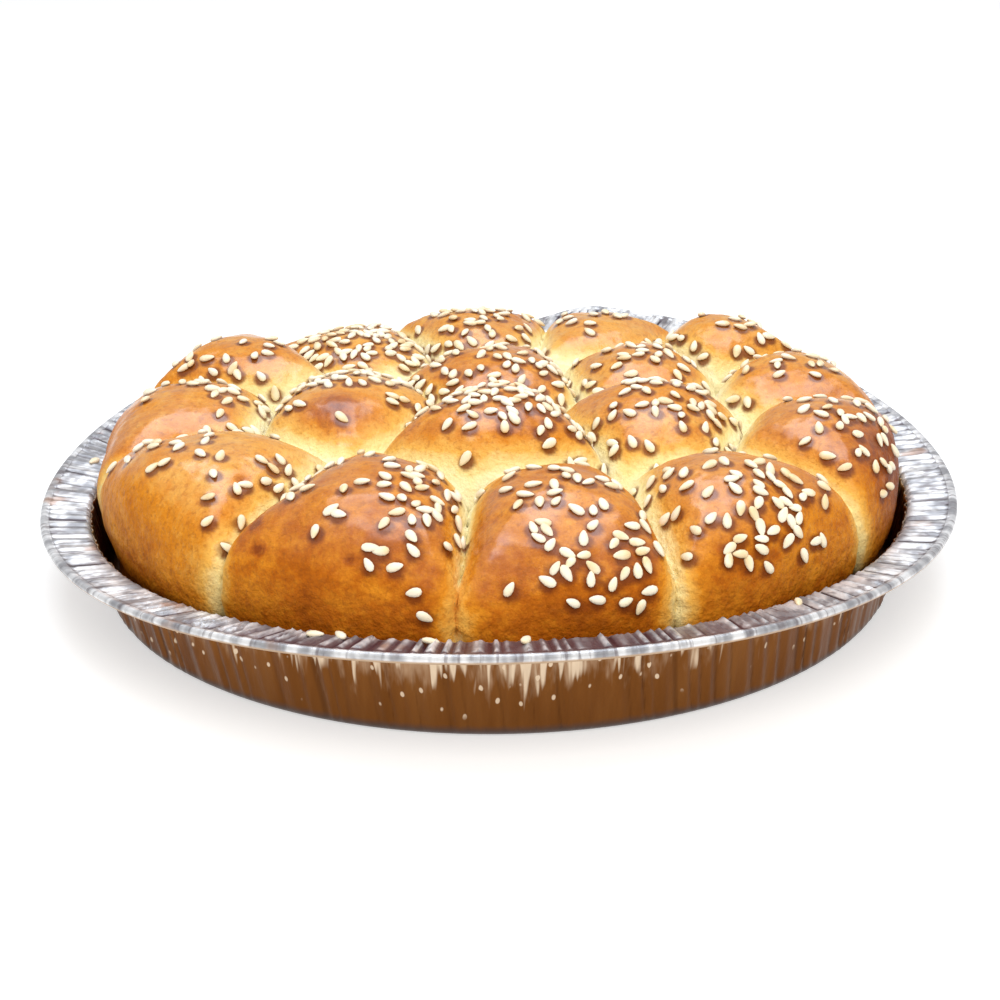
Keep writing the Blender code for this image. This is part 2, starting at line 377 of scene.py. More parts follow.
class Finish:
    """A material that is built node by node."""

    def __init__(self, name):
        self.material = bpy.data.materials.new(name)
        self.material.use_nodes = True
        self.tree = self.material.node_tree
        self.tree.nodes.clear()
        self.place = self.node("TexCoord", {}, {}, "Object")

    def node(self, kind, settings, values, output=0):
        """Adds a node with its settings and its sockets' values or links."""
        made = self.tree.nodes.new("ShaderNode" + kind)
        for setting, value in settings.items():
            if setting == "stops":
                self.set_stops(made.color_ramp, value)
            else:
                setattr(made, setting, value)
        for socket, value in values.items():
            if isinstance(value, Port):
                self.tree.links.new(value.socket, made.inputs[socket])
            else:
                made.inputs[socket].default_value = value
        return Port(self, made.outputs[output]) if len(made.outputs) else None

    @staticmethod
    def set_stops(ramp, stops):
        while len(ramp.elements) < len(stops):
            ramp.elements.new(1.0)
        for element, (position, color) in zip(ramp.elements, stops):
            element.position = position
            element.color = (*color, 1.0)

    def noise(self, scale, detail, roughness, place=None):
        """A cloudy pattern between 0 and 1."""
        values = {"Vector": place or self.place, "Scale": scale}
        values.update({"Detail": detail, "Roughness": roughness})
        return self.node("TexNoise", {}, values)

    def ring(self, stretch):
        """Coordinates whose patterns run along the radius, or down the wall, when stretched."""
        flat = self.node("VectorMath", {"operation": "MULTIPLY"}, {0: self.place, 1: (1, 1, 0)})
        round_it = self.node("VectorMath", {"operation": "NORMALIZE"}, {0: flat})
        away = self.node("VectorMath", {"operation": "LENGTH"}, {0: self.place}, "Value")
        scaled = self.node(
            "VectorMath", {"operation": "SCALE"}, {0: round_it, "Scale": RIM_RADIUS}
        )
        path = self.node("CombineXYZ", {}, {"Z": (away + self.along("Z")) * stretch})
        return self.node("VectorMath", {"operation": "ADD"}, {0: scaled, 1: path})

    def value(self, name):
        """The number that the piece's vertices carry under this name."""
        return self.node("Attribute", {"attribute_name": name}, {}, "Fac")

    def mix(self, share, low, high):
        """A colour between two colours."""
        low = low if isinstance(low, Port) else (*low, 1.0)
        high = high if isinstance(high, Port) else (*high, 1.0)
        values = {0: share, 6: low, 7: high}
        return self.node("Mix", {"data_type": "RGBA"}, values, 2)

    def ramp(self, share, stops):
        """A colour that runs through the stops."""
        return self.node("ValToRGB", {"stops": stops}, {0: share})

    def along(self, axis):
        """How far the place lies along an axis, in metres."""
        return self.node("SeparateXYZ", {}, {0: self.place}, axis)

    def bump(self, height, distance, strength):
        values = {"Height": height, "Distance": distance, "Strength": strength}
        return self.node("Bump", {}, values)

    def principled(self, values):
        """Ends the material with its one shader."""
        shader = self.node("BsdfPrincipled", {}, values)
        self.node("OutputMaterial", {}, {"Surface": shader})
        return self.material


def crust_finish():
    """Egg-washed crust: pale dough in the creases, gold, then brown where it faced the heat."""
    finish = Finish("crust")
    browning = finish.value("browning")
    crease = finish.value("crease")
    by_seed = finish.value("by_seed")
    glaze = finish.value("glaze")
    broad = finish.noise(62, 3.0, 0.55)
    fine = finish.noise(320, 5.0, 0.7)
    freckles = finish.noise(800, 2.0, 0.5)
    mottling = (broad - 0.5) * 0.6 + (fine - 0.5) * 0.85
    shade = browning + mottling * (0.10 + browning)
    color = finish.ramp(shade.clamp(), CRUST_COLORS)
    freckled = finish.mix(freckles.step(0.54, 0.70) * browning * 0.8, color, FRECKLE)
    # Painted shadow under each seed, in dark brown
    seed_shaded = finish.mix(by_seed * 0.9, freckled, SEED_SHADOW_COLOR)
    wrinkles = finish.noise(620, 3.0, 0.6)
    crumb = finish.noise(1300, 3.0, 0.7)
    # Dark dots in the creases: painted shade in pits
    pit_shaded = finish.mix(crumb.step(0.60, 0.70) * crease * 0.6, seed_shaded, CRUMB_PIT_SHADE)
    relief = wrinkles * (1.0 - crease * 0.4) + crumb * (0.2 + crease * 0.5)
    normal = finish.bump(relief, 0.9 * MM, 0.8)
    patch = finish.noise(110, 2.0, 0.5).step(0.32, 0.62)
    return finish.principled(
        {
            "Base Color": pit_shaded,
            "Roughness": 0.46 + (fine - 0.5) * 0.3 + crease * 0.25,
            "Normal": normal,
            "Coat Weight": glaze * (0.4 + patch * 0.6),
            "Coat Roughness": 0.22,
            "Coat IOR": 1.7,
            "Specular IOR Level": 0.08,
        }
    )


def sesame_finish():
    """Hulled sesame: creamy white, a little toasted."""
    finish = Finish("sesame")
    toast = finish.noise(160, 2.0, 0.5)
    grain = finish.noise(1800, 2.0, 0.5)
    color = finish.ramp(toast.step(0.3, 0.75), SESAME_COLORS)
    normal = finish.bump(grain, 0.05 * MM, 0.6)
    return finish.principled({"Base Color": color, "Roughness": 0.38, "Normal": normal})


def bright_foil_finish():
    """Aluminium foil of the flange and rolled edge: silver with dark lines of painted shade in
    its crimps and on its folds at the front, dull facets of painted shade, and a painted tan
    reflection under the roll.
    """
    finish = Finish("bright foil")
    fold = finish.value("fold")
    under = finish.value("under")
    streak = finish.noise(700, 2.0, 0.6, finish.ring(0.25))
    patch = finish.noise(260, 2.0, 0.6, finish.ring(0.6))
    crinkle = finish.noise(700, 3.0, 0.6)
    # Bright and dull patches: painted reflection on some facets and painted shade on others
    silver = finish.mix(patch.step(0.35, 0.65), BRIGHT_SILVER, SHADED_FACET_SILVER)
    # Dark lines of painted shade in the crimps' valleys
    crimp_shaded = finish.mix(fold.step(0.40, 0.12), silver, CRIMP_SHADE)
    streaked = finish.mix(streak.step(0.54, 0.66) * 0.6, crimp_shaded, STREAK)
    stain = finish.noise(55, 3.0, 0.6).step(0.60, 0.70) * (1 - under)
    stained = finish.mix(stain * 0.6, streaked, BROWN_STAIN)
    # The roll's underside gets a painted tan reflection
    turned_under = finish.mix(under, stained, TAN_UNDERSIDE_REFLECTION)
    # Painted shade in the folds' valleys at the front of the flange
    nearer = finish.along("Y").step(-0.070, -0.094)
    front_fold_shade = nearer * fold.step(0.86, 0.45) * 0.9
    color = finish.mix(front_fold_shade, turned_under, FRONT_FOLD_SHADE)
    normal = finish.bump(crinkle + streak * 0.8, 0.25 * MM, 0.6)
    return finish.principled(
        {"Base Color": color, "Metallic": 0.35, "Roughness": 0.36, "Normal": normal}
    )


def reflection_tinted_foil_finish():
    """The cup's foil, coloured with a painted brown reflection, with pale drips of egg wash
    below the flange that are partly painted reflection and highlights.
    """
    finish = Finish("foil with painted reflection")
    fold = finish.value("fold")
    down = finish.value("down")
    streak = finish.noise(190, 3.0, 0.6, finish.ring(0.12))
    crinkle = finish.noise(500, 3.0, 0.6, finish.ring(0.3))
    # The wall's brown is a painted reflection
    reflected_brown = finish.ramp(streak.step(0.2, 0.8), BROWN_REFLECTION_COLORS)
    shaded = finish.mix(fold.step(0.3, 0.0) * 0.45, reflected_brown, PLEAT_SHADE)
    foot = down.step(0.86, 0.95)
    darker = finish.mix(foot * 0.9, shaded, FOOT_SHADE)
    # Pale egg wash that is partly painted reflection and highlights, with more of it on the left
    more_on_left = finish.along("X").step(0.035, 0.0) * 0.20
    broad = (finish.noise(34, 1.0, 0.5) - 0.5) * 0.45 + more_on_left
    film = (finish.noise(330, 3.0, 0.6, finish.ring(0.2)) - 0.5) * 2.0 + broad + 0.10
    filmed = finish.mix((film - down * 1.4).step(-0.35, 0.35) * 0.75, darker, EGG_FILM_AND_SHEEN)
    drip = (finish.noise(700, 1.0, 0.5, finish.ring(0.09)) - 0.5) * 2.2 + broad
    drips = (drip - down * 1.3 + 0.06).step(-0.06, 0.26)
    # Small drops that are partly painted highlights
    drops = finish.node("TexVoronoi", {}, {"Vector": finish.ring(0.6), "Scale": 300.0})
    splashes_and_glints = (0.17 - drops).step(0.0, 0.06) * (broad + 0.62 - down).step(0.0, 0.1)
    color = finish.mix((drips + splashes_and_glints).clamp() * 0.8, filmed, EGG_DRIP_AND_GLINT)
    normal = finish.bump(crinkle, 0.3 * MM, 0.5)
    return finish.principled(
        {"Base Color": color, "Metallic": 1.0 - foot, "Roughness": 0.36, "Normal": normal}
    )


# The pan


def folds(angle, count, random_seed):
    """A wave of uneven pleats round the pan: 1 on a ridge and -1 in a valley."""
    place = [Vector((math.cos(a) * 9, math.sin(a) * 9, random_seed)) for a in angle]
    drift = np.array([noise.noise(p) + 0.5 * noise.noise(p * 2.7) for p in place])
    size = np.array([noise.noise(p * 3.1) for p in place])
    phase = angle * count + drift * 6.0
    return np.arcsin(np.sin(phase)) * 2 / math.pi * np.clip(0.75 + size * 1.1, 0.15, 1.5)


def foil_piece(name, profile, columns, wave_of):
    """A band of foil turned from (radius, height) points and pleated by wave_of."""
    angle = np.linspace(0, math.tau, columns, endpoint=False) - math.pi
    vertices = []
    fold = []
    down = []
    under = []
    for radius, height in profile:
        out, up, mark = wave_of(angle, radius, height)
        reach = radius + out
        above_floor = max(height - LEVEL_FLOOR_HEIGHT, 0.0)
        lifted = min(above_floor / (RIM_HEIGHT - LEVEL_FLOOR_HEIGHT), 1.0)
        z = height + up + rim_offset(angle) * lifted
        vertices.append(np.stack([reach * np.cos(angle), reach * np.sin(angle), z], 1))
        fold.append(mark)
        down.append(np.full(columns, 1 - height / (RIM_HEIGHT - FLANGE_RISE)))
        turned_under = height < ROLLED_UNDER_HEIGHT and radius > ROLLED_UNDER_RADIUS
        under.append(np.full(columns, float(turned_under)))
    made = new_piece(name, np.concatenate(vertices), grid_faces(len(profile), columns))
    for mark, values in (("fold", fold), ("under", under), ("down", down)):
        paint_values(made, mark, np.concatenate(values))
    return made


def round_points(middle, radius, first, last, count):
    """Points on an arc between two directions in degrees."""
    turns = np.radians(np.linspace(first, last, count))
    return [(middle[0] + radius * math.cos(t), middle[1] + radius * math.sin(t)) for t in turns]


def straight_points(first, last, count):
    """Points on a line, its end left out."""
    shares = np.linspace(0, 1, count, endpoint=False)
    return [tuple(np.array(first) * (1 - s) + np.array(last) * s) for s in shares]


# The loaf


class Bun:
    """A bun that fills its place between its neighbours and the pan's wall."""

    def __init__(self, bearing, distance, top, browned, by_wall):
        turn = math.radians(bearing)
        self.middle = np.array([math.cos(turn), math.sin(turn)]) * distance * MM
        self.top = top * MM
        self.browned = browned
        self.by_wall = by_wall
        self.sides = []
        self.mean_reach = 0.0

    def meet(self, buns, sizes):
        """Sets the sides where this bun presses against the others."""
        self.sizes = sizes
        for other in buns:
            if other is not self:
                apart = other.middle - self.middle
                length = np.linalg.norm(apart)
                self.sides.append(apart / length / (sizes.overlap * length / 2))
        turns = np.linspace(0, math.tau, 48, endpoint=False)
        self.mean_reach = float(self.reach(turns).mean())

    def reach(self, turn):
        """How far the waist is from the middle in these directions."""
        away = np.stack([np.cos(turn), np.sin(turn)], -1)
        shares = [np.maximum(away @ side, 0.0) for side in self.sides]
        if self.by_wall:
            along = away @ self.middle
            square = along ** 2 + WAIST_RADIUS ** 2 - self.middle @ self.middle
            shares.append(1 / (np.sqrt(square) - along))
        sharp = self.sizes.corner_sharpness
        return sum(share ** sharp for share in shares) ** (-1 / sharp)

    def spread(self, turn, share):
        """Distance from the middle at this share of the way to the waist."""
        corner = self.reach(turn) - self.mean_reach
        return (self.mean_reach + corner * np.minimum(share, 1.0) ** CORNER_GROWTH) * share

    def share_at(self, x, y):
        """The share at which points seen from above lie, above 1 outside the waist."""
        dx = x - self.middle[0]
        dy = y - self.middle[1]
        turn = np.arctan2(dy, dx)
        far = np.hypot(dx, dy)
        share = far / self.reach(turn)
        for _ in range(4):
            share = share * far / np.maximum(self.spread(turn, share), 1e-6)
        return share

    def height(self, share):
        """The dome's height; outside the waist it drops away."""
        puff = self.sizes.puffiness
        lift = (1 - np.minimum(share, 1.0) ** puff) ** (1 / puff)
        rise = self.top - WAIST_HEIGHT
        return WAIST_HEIGHT + rise * lift - np.maximum(share - 1, 0) * DROP_OUTSIDE_WAIST

    def crust(self, turn, latitude):
        """The dome's point in this direction: latitude 0 is the top, 1 the waist."""
        share = math.sin(latitude * math.pi / 2)
        turns = np.array([turn])
        far = self.spread(turns, share)[0]
        x = self.middle[0] + far * math.cos(turn)
        y = self.middle[1] + far * math.sin(turn)
        return Vector((x, y, float(self.height(share))))


def all_buns(sizes):
    """Every bun, the outer ring first."""
    buns = [Bun(*place, True) for place in OUTER_BUNS]
    buns += [Bun(*place, False) for place in INNER_BUNS]
    for bun in buns:
        bun.meet(buns, sizes)
    return buns


def unevenness(places):
    """A gentle push of every point, the same for all buns, so that creases stay shut."""
    coarse_scale, coarse_push = COARSE_UNEVENNESS
    fine_scale, fine_push = FINE_UNEVENNESS
    pushes = []
    for place in places:
        coarse = noise.noise_vector(Vector(place) * coarse_scale)
        fine = noise.noise_vector(Vector(place) * fine_scale + Vector((7, 3, 5)))
        pushes.append(coarse * coarse_push * MM + fine * fine_push * MM)
    return np.array(pushes)


def crust_relief(places, crease, buns):
    """How far the crust's points stand out, and how scorched they are by a mark."""
    broad_scale, broad_height = BROAD_RIPPLE
    fine_scale, fine_height = FINE_RIPPLE
    push = np.empty(len(places))
    for index, place in enumerate(places):
        spot = Vector(place)
        broad = noise.noise(spot * broad_scale) * broad_height
        ripple = broad + noise.noise(spot * fine_scale) * fine_height
        rough = noise.noise(spot * TORN_SCALE) * crease[index]
        pit = max(rough - PIT_START, 0.0) * PIT_DEPTH
        strand = max(-rough, 0.0) * STRAND_HEIGHT
        push[index] = (ripple - pit + strand) * MM
    scorched = np.zeros(len(places))
    for number, bearing, down, radius, depth, browner in MARKS:
        middle = np.array(buns[number].crust(math.radians(bearing), down))
        away = np.linalg.norm(places - middle, axis=1) / (radius * MM)
        push -= np.exp(-away ** 2) * depth * MM
        scorched += np.exp(-away ** 2) * browner
    return push, scorched


def bun_shell(bun, buns, sizes, columns, rows):
    """Vertices, browning and crease values of one bun from its top to under its waist."""
    turns = np.linspace(0, math.tau, columns, endpoint=False)
    latitudes = np.sin(np.linspace(0, math.pi / 2, rows + 1)[1:])
    turn, share = np.meshgrid(turns, latitudes)
    turn = turn.ravel()
    share = share.ravel()
    far = bun.spread(turn, share)
    x = bun.middle[0] + far * np.cos(turn)
    y = bun.middle[1] + far * np.sin(turn)
    z = bun.height(share)
    web = sizes.crease_width
    filled = np.zeros_like(z)
    nearest = np.full_like(z, 9.0)
    for other in buns:
        if other is bun or np.linalg.norm(other.middle - bun.middle) > NEIGHBOUR_REACH:
            continue
        theirs = other.share_at(x, y)
        nearest = np.minimum(nearest, theirs)
        above = z - other.height(theirs)
        filled += web * np.log1p(np.exp(-np.maximum(above, 0.0) / web))
    gap = nearest - share
    z = z + filled
    outward = (x * np.cos(turn) + y * np.sin(turn)) / np.hypot(x, y)
    low = smooth_step(0.55, 0.95, share) * smooth_step(0.3, 0.8, outward) * bun.by_wall
    inward = np.clip((1 - outward) / 2, 0, 1) if bun.by_wall else 0.6
    pale_side = 0.28 + 0.66 * inward
    pressed = smooth_step(-0.04 + 0.08 * inward, pale_side, gap)
    brown = pressed * (0.18 + 0.44 * bun.browned) + low * 0.12
    crease = 1 - smooth_step(0.0, CREASE_SHARE, gap)
    return np.stack([x, y, z], 1), brown, crease


def bun_piece(name, some, buns, sizes):
    """The given buns' crust as one mesh."""
    vertices = []
    faces = []
    browning = []
    creases = []
    columns = sizes.columns
    for bun in some:
        start = sum(len(part) for part in vertices)
        shell, brown, crease = bun_shell(bun, buns, sizes, columns, sizes.rows)
        waist = shell[-columns:]
        middle = np.array([*bun.middle, 0.0])
        skirt = []
        for inset, drop in SKIRT_RINGS:
            ring = middle + (waist - middle) * inset
            ring[:, 2] = WAIST_HEIGHT - drop * MM
            skirt.append(ring)
        top = np.array([[*bun.middle, bun.top]])
        foot = np.array([[*bun.middle, skirt[-1][0, 2]]])
        lower = np.concatenate(skirt)
        body = np.concatenate([shell, lower])
        rows = len(body) // columns
        caps = (start + len(body), start + len(body) + 1)
        faces += grid_faces(rows, columns, start, *caps)
        vertices.append(np.concatenate([body, top, foot]))
        away = waist[:, :2] - bun.middle
        spans = np.linalg.norm(waist[:, :2], axis=1) * np.linalg.norm(away, axis=1)
        outside = smooth_step(0.5, 0.9, (waist[:, :2] * away).sum(1) / spans) * bun.by_wall
        outside *= 1 - crease[-columns:]
        tail = np.tile(np.maximum(brown[-columns:], SKIRT_BROWNING * outside), len(skirt))
        browning += [brown, tail, brown[:1], [SKIRT_BROWNING]]
        creases += [crease, np.tile(crease[-columns:], len(skirt)), [0.0], [0.0]]
    places = np.concatenate(vertices)
    places = places + unevenness(places)
    made = new_piece(name, places, faces)
    crease = np.concatenate(creases)
    normals = np.array([vertex.normal for vertex in made.data.vertices])
    push, scorched = crust_relief(places, crease, buns)
    made.data.vertices.foreach_set("co", (places + normals * push[:, None]).ravel())
    made.data.update()
    paint_values(made, "browning", np.concatenate(browning) + scorched)
    paint_values(made, "crease", crease)
    paint_values(made, "glaze", smooth_step(0.45, 0.85, normals[:, 2]) * (1 - crease))
    return made


def crumb_piece():
    """The bread under the domes, down to the pan's floor."""
    profile = [
        (0.1 * MM, 26.0 * MM),
        (58 * MM, 26.0 * MM),
        (74 * MM, 23.0 * MM),
        (LOAF_SIDE_RADIUS - 7.0 * MM, 18.5 * MM),
        (LOAF_SIDE_RADIUS - 4.0 * MM, 13.0 * MM),
        (LOAF_SIDE_RADIUS - 3.4 * MM, LOAF_FOOT + 2 * MM),
        (LOAF_SIDE_RADIUS - 5.1 * MM, LOAF_FOOT),
        (0.1 * MM, LOAF_FOOT),
    ]
    angle = np.linspace(0, math.tau, CRUMB_COLUMNS, endpoint=False)
    flat = np.stack([np.cos(angle), np.sin(angle), angle * 0], 1)
    rings = [flat * radius + np.array([0, 0, height]) for radius, height in profile]
    caps = np.array([[0, 0, profile[0][1]], [0, 0, profile[-1][1]]])
    total = len(profile) * CRUMB_COLUMNS
    faces = grid_faces(len(profile), CRUMB_COLUMNS, 0, total, total + 1)
    places = np.concatenate([*rings, caps])
    made = new_piece("crumb", places, faces)
    pale = smooth_step(*CRUMB_PALE_HEIGHTS, places[:, 2])
    paint_values(made, "browning", 0.85 - pale * 0.80)
    paint_values(made, "crease", 0.2 + pale * 0.8)
    return made


# Sesame


def seed_places(buns, surface, sizes):
    """Where seeds lie: spots on the crust with their normals, in a cluster on each bun."""
    draw = np.random.default_rng(sizes.random_seed)
    taken = []
    for bun, clusters in zip(buns, (*OUTER_SEEDS, *INNER_SEEDS)):
        for count, bearing, down, spread in clusters:
            turn = math.radians(bearing)
            centre = np.array([math.cos(turn), math.sin(turn)]) * down
            wanted = len(taken) + count
            for _ in range(count * 30):
                if len(taken) >= wanted:
                    break
                x, y = centre + draw.normal(0.0, spread, 2)
                latitude = math.hypot(x, y)
                if latitude > LOWEST_LATITUDE:
                    continue
                spot, normal, _, _ = surface.find_nearest(bun.crust(math.atan2(y, x), latitude))
                if spot.z < WAIST_HEIGHT + 2 * MM:
                    continue
                if all((spot - other).length > sizes.spacing for other, _ in taken):
                    taken.append((spot, normal))
    return taken


def paint_seed_shadows(crust, places):
    """Stores how close each point of the crust is to a spot below each seed, for its painted
    shadow.
    """
    tree = KDTree(len(places))
    for index, (spot, _) in enumerate(places):
        tree.insert(spot + SEED_SHADOW_OFFSET, index)
    tree.balance()
    gaps = np.array([tree.find(vertex.co)[2] for vertex in crust.data.vertices])
    paint_values(crust, "by_seed", 1 - smooth_step(*SEED_SHADOW_EDGES, gaps))


def seed_tree(seed, finish):
    """Geometry nodes that lay a seed at every point, each of its own size."""
    tree = bpy.data.node_groups.new("scattered sesame", "GeometryNodeTree")
    face = tree.interface
    face.new_socket("Points", in_out="INPUT", socket_type="NodeSocketGeometry")
    face.new_socket("Smallest", in_out="INPUT", socket_type="NodeSocketFloat")
    face.new_socket("Largest", in_out="INPUT", socket_type="NodeSocketFloat")
    face.new_socket("Random Seed", in_out="INPUT", socket_type="NodeSocketInt")
    face.new_socket("Sesame", in_out="OUTPUT", socket_type="NodeSocketGeometry")

    def add(kind, **settings):
        made = tree.nodes.new(kind)
        for setting, value in settings.items():
            setattr(made, setting, value)
        return made

    start = add("NodeGroupInput")
    end = add("NodeGroupOutput")
    source = add("GeometryNodeObjectInfo")
    source.inputs["Object"].default_value = seed
    lay = add("GeometryNodeInputNamedAttribute", data_type="FLOAT_VECTOR")
    lay.inputs["Name"].default_value = "lay"
    size = add("FunctionNodeRandomValue", data_type="FLOAT")
    scatter = add("GeometryNodeInstanceOnPoints")
    real = add("GeometryNodeRealizeInstances")
    paint = add("GeometryNodeSetMaterial")
    paint.inputs["Material"].default_value = finish
    link = tree.links.new
    floats = [socket for socket in size.inputs if socket.type == "VALUE"]
    link(start.outputs["Smallest"], floats[0])
    link(start.outputs["Largest"], floats[1])
    link(start.outputs["Random Seed"], size.inputs["Seed"])
    link(start.outputs["Points"], scatter.inputs["Points"])
    link(source.outputs["Geometry"], scatter.inputs["Instance"])
    link(lay.outputs["Attribute"], scatter.inputs["Rotation"])
    link([s for s in size.outputs if s.type == "VALUE"][0], scatter.inputs["Scale"])
    link(scatter.outputs["Instances"], real.inputs["Geometry"])
    link(real.outputs["Geometry"], paint.inputs["Geometry"])
    link(paint.outputs["Geometry"], end.inputs["Sesame"])
    return tree


def set_inputs(modifier, values):
    """Sets a geometry nodes modifier's inputs by their sockets' identifiers."""
    for item in modifier.node_group.interface.items_tree:
        if item.in_out == "INPUT" and item.name in values:
            modifier[item.identifier] = values[item.name]


def one_seed(sizes):
    """A sesame seed, pointed at one end and flat below."""
    bm = bmesh.new()
    bmesh.ops.create_uvsphere(bm, u_segments=10, v_segments=6, radius=0.5)
    bm.transform(Matrix.Rotation(math.pi / 2, 4, "Y"))
    for vertex in bm.verts:
        along = vertex.co.x + 0.5
        width = 1.0 - 0.45 * along ** 1.6
        vertex.co.x *= sizes.length
        vertex.co.y *= sizes.width * width * 1.12
        vertex.co.z *= sizes.depth * width * 1.1
    mesh = bpy.data.meshes.new("one_seed")
    bm.to_mesh(mesh)
    bm.free()
    mesh.shade_smooth()
    made = bpy.data.objects.new("one_seed", mesh)
    bpy.context.scene.collection.objects.link(made)
    return made


def flange_places(surface):
    """Where the few seeds lie that rolled onto the flange."""
    places = []
    for bearing, radius in FLANGE_SEEDS:
        turn = math.radians(bearing)
        above = Vector((math.cos(turn) * radius * MM, math.sin(turn) * radius * MM, 0.1))
        spot, _, _, _ = surface.ray_cast(above, Vector((0, 0, -1)))
        places.append((spot, Vector((0, 0, 1))))
    return places


# Sizes that a user may change


class PanSizes(bpy.types.PropertyGroup):
    """Sizes of the foil pan."""

    thickness: bpy.props.FloatProperty(
        name="Foil thickness",
        description="Thickness of the foil sheet",
        default=0.3 * MM,
        unit="LENGTH",
    )
    roll_radius: bpy.props.FloatProperty(
        name="Rolled edge radius",
        description="Radius of the roll at the outer edge",
        default=0.95 * MM,
        unit="LENGTH",
    )
    pleats: bpy.props.IntProperty(
        name="Wall pleats", description="Pleats round the wall", default=150
    )
    crimps: bpy.props.IntProperty(
        name="Flange crimps", description="Crimps round the flange", default=205
    )
    pleat_depth: bpy.props.FloatProperty(
        name="Pleat depth",
        description="How far the wall's pleats stand out",
        default=0.35 * MM,
        unit="LENGTH",
    )
    crimp_depth: bpy.props.FloatProperty(
        name="Crimp depth",
        description="How far the flange's crimps stand up",
        default=0.5 * MM,
        unit="LENGTH",
    )


class LoafSizes(bpy.types.PropertyGroup):
    """Sizes of the buns."""

    overlap: bpy.props.FloatProperty(
        name="Bun overlap",
        description="How far neighbouring buns are pressed into each other",
        default=1.05,
    )
    corner_sharpness: bpy.props.FloatProperty(
        name="Corner sharpness",
        description="How well a bun fills the corners between its neighbours",
        default=11.0,
    )
    puffiness: bpy.props.FloatProperty(
        name="Puffiness",
        description="2 is a round dome, more is a fuller one",
        default=2.2,
    )
    crease_width: bpy.props.FloatProperty(
        name="Crease width",
        description="Width of the stretched dough in a crease",
        default=0.7 * MM,
        unit="LENGTH",
    )
    columns: bpy.props.IntProperty(
        name="Columns", description="Grid columns round a bun", default=172
    )
    rows: bpy.props.IntProperty(
        name="Rows", description="Grid rows from a bun's top to its waist", default=84
    )
    random_seed: bpy.props.IntProperty(
        name="Random seed", description="Draws the buns' gentle unevenness", default=1
    )


class SesameSizes(bpy.types.PropertyGroup):
    """Sizes of the sesame seeds."""

    length: bpy.props.FloatProperty(
        name="Length", description="Length of a seed", default=3.45 * MM, unit="LENGTH"
    )
    width: bpy.props.FloatProperty(
        name="Width", description="Width of a seed", default=1.95 * MM, unit="LENGTH"
    )
    depth: bpy.props.FloatProperty(
        name="Depth", description="Thickness of a seed", default=1.25 * MM, unit="LENGTH"
    )
    spacing: bpy.props.FloatProperty(
        name="Spacing",
        description="Least distance between two seeds' middles",
        default=1.9 * MM,
        unit="LENGTH",
    )
    random_seed: bpy.props.IntProperty(
        name="Random seed", description="Draws the seeds' places", default=5
    )


class StageLight(bpy.types.PropertyGroup):
    """Light and floor."""

    overhead_power: bpy.props.FloatProperty(
        name="Overhead light", description="Power of the overhead light in watts", default=3.8
    )
    fill_power: bpy.props.FloatProperty(
        name="Front fill", description="Power of the front light in watts", default=6.5
    )
    ambient: bpy.props.FloatProperty(
        name="Ambient light", description="Strength of the room's light", default=0.50
    )
    floor_color: bpy.props.FloatVectorProperty(
        name="Floor colour",
        description="Colour of the pale floor",
        default=(0.62, 0.62, 0.62),
        size=3,
        subtype="COLOR",
    )
    floor_glow: bpy.props.FloatProperty(
        name="Floor glow", description="How far the floor lightens its shadows", default=0.52
    )


# Operators


